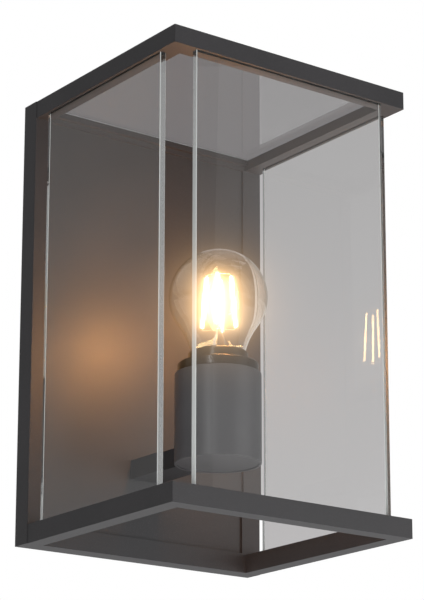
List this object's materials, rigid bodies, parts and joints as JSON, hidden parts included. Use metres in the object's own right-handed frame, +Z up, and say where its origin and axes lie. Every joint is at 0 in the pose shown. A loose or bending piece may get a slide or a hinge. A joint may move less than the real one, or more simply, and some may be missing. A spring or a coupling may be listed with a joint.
{
  "type": "wall lantern",
  "caption": "Outdoor wall lantern: shallow wall box, glazed roof frame, open bottom frame, clear panes with open corners, and an upright screw-in bulb in a cup on an arm.",
  "frame": {"origin": "on the wall face, midway between the wall bracket's two slots", "axes": "+Z up, +X to the right seen from the front, -Y out of the wall towards the front"},
  "size_m": [0.177, 0.163, 0.2862],
  "materials": {
    "powder_coat": "fine-textured satin anthracite powder coat",
    "pane_glass": "clear float glass with polished edges",
    "bulb_clear": "thin clear blown glass",
    "stem_glass": "clear pressed glass",
    "black_rubber": "matt black rubber",
    "collar_silicone": "smooth black silicone, slight sheen",
    "sponge_rubber": "matt sponge rubber",
    "zinc_steel": "zinc-plated sheet",
    "steel_screw": "bright plated",
    "holder_ceramic": "white glazed porcelain",
    "shell_brass": "bright pressed brass",
    "cap_nickel": "nickel-plated brass, satin",
    "insulator_black": "black fused glass",
    "tip_solder": "dull solder",
    "driver_board": "green board with parts",
    "filament_phosphor": "yellow phosphor, glowing",
    "filament_metal": "bare drawn wire",
    "lead_brown": "brown insulation",
    "lead_blue": "blue insulation",
    "lead_green": "green and yellow insulation",
    "tinned_copper": "tinned copper",
    "block_nylon": "natural nylon"
  },
  "bodies": {
    "wall_mount": {"wall_gasket": "sponge_rubber", "wall_bracket": "zinc_steel", "lock_screws": "steel_screw", "cable_grommet": "black_rubber"},
    "lantern": {"back_box": "powder_coat", "back_panel": "powder_coat", "frame_screws": "steel_screw", "top_frame": "powder_coat", "bottom_frame": "powder_coat", "left_glass": "pane_glass", "right_glass": "pane_glass", "front_glass": "pane_glass", "roof_glass": "pane_glass", "roof_seal": "black_rubber", "top_glazing_rubbers": "black_rubber", "bottom_glazing_rubbers": "black_rubber", "arm": "powder_coat", "socket_cup": "powder_coat", "lampholder": "holder_ceramic", "holder_screws": "steel_screw", "screw_shell": "shell_brass", "centre_contact": "shell_brass", "live_lead": "lead_brown", "neutral_lead": "lead_blue", "earth_lead": "lead_green", "earth_lug": "tinned_copper", "earth_stud": "steel_screw", "earth_nut": "steel_screw", "terminal_block": "block_nylon", "terminal_inserts": "shell_brass", "terminal_screws": "steel_screw"},
    "collar": {"seal_collar": "collar_silicone"},
    "bulb": {"bulb_glass": "bulb_clear", "bulb_cap": "cap_nickel", "bulb_insulator": "insulator_black", "bulb_tip": "tip_solder", "bulb_driver": "driver_board", "bulb_stem": "stem_glass", "led_filaments": "filament_phosphor", "filament_wires": "filament_metal"}
  },
  "joints": [
    {"name": "lantern_off_bracket", "type": "slide", "parent": "wall_mount", "child": "lantern", "axis": [0, -1, 0], "range_m": [0, 0.03]},
    {"name": "bulb_lift", "type": "slide", "parent": "lantern", "child": "collar", "axis": [0, 0, 1], "range_m": [0, 0.0243]},
    {"name": "bulb_turn", "type": "hinge", "parent": "collar", "child": "bulb", "pos_m": [0, -0.086, 0.01], "axis": [0, 0, 1], "range_deg": [0, 2400]}
  ],
  "couplings": [
    {"joint": "bulb_lift", "follows": "bulb_turn", "m_per_rad": 0.00057773}
  ]
}
